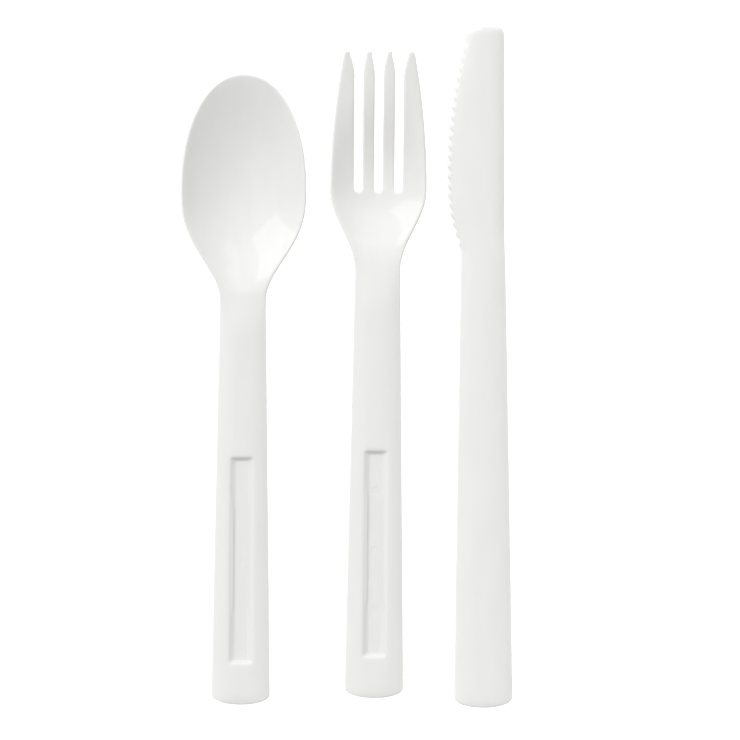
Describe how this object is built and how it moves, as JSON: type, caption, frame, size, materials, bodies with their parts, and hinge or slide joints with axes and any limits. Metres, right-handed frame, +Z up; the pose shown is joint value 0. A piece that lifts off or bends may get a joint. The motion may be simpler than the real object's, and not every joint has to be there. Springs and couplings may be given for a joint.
{
  "type": "travel cutlery set",
  "caption": "Spoon, fork and toothed knife of glossy white plastic with matching domed handles, laid side by side on their undersides.",
  "frame": {"origin": "centre of the set's outline, on the surface that it lies on", "axes": "+Y along the utensils, towards the bowl, tines and blade; +X from the spoon to the knife; +Z up"},
  "size_m": [0.0922, 0.1896, 0.0081],
  "materials": {
    "spoon_plastic": "polished moulded polystyrene, opaque white",
    "fork_plastic": "polished moulded polystyrene, opaque white",
    "knife_plastic": "polished moulded polystyrene, opaque white"
  },
  "bodies": {
    "root": {"spoon": "spoon_plastic", "fork": "fork_plastic", "knife": "knife_plastic"}
  },
  "joints": []
}
